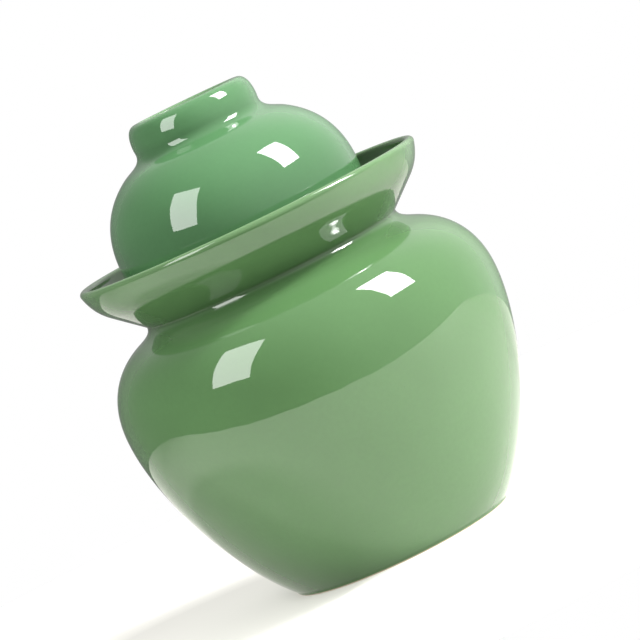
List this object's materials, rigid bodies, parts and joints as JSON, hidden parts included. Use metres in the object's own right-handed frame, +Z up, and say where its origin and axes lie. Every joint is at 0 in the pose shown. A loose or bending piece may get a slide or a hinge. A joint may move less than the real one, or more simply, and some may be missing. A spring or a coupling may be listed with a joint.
{
  "type": "ceramic crock fermenter",
  "caption": "Glazed round-bellied pickling crock with a water moat round its mouth, a bowl-shaped outer lid, an inner lid and half-round weights.",
  "frame": {"origin": "centre of the foot, on the surface that the jar stands on", "axes": "+Z up along the jar's axis, +X to the right and +Y to the back as the jar is looked at; the two weights lie side by side along X"},
  "size_m": [0.2, 0.2, 0.2426],
  "materials": {
    "jar_glaze": "glossy opaque green glaze",
    "lid_glaze": "glossy opaque green glaze",
    "inner_lid_glaze": "glossy opaque green glaze",
    "stoneware": "unglazed, matt"
  },
  "bodies": {
    "jar": {"jar_body": "jar_glaze"},
    "outer_lid": {"outer_lid": "lid_glaze"},
    "inner_lid": {"inner_lid": "inner_lid_glaze"},
    "weight_left": {"weight_half_left": "stoneware"},
    "weight_right": {"weight_half_right": "stoneware"}
  },
  "joints": [
    {"name": "lid_lift", "type": "slide", "parent": "jar", "child": "outer_lid", "axis": [0, 0, 1], "range_m": [0, 0.16]},
    {"name": "inner_lid_lift", "type": "slide", "parent": "jar", "child": "inner_lid", "axis": [0, 0, 1], "range_m": [0, 0.08]},
    {"name": "weight_left_rise", "type": "slide", "parent": "jar", "child": "weight_left", "axis": [0, 0, 1], "range_m": [0, 0.12]},
    {"name": "weight_right_rise", "type": "slide", "parent": "jar", "child": "weight_right", "axis": [0, 0, 1], "range_m": [0, 0.12]}
  ],
  "couplings": [
    {"joint": "inner_lid_lift", "follows": "lid_lift", "ratio": 0.5}
  ]
}
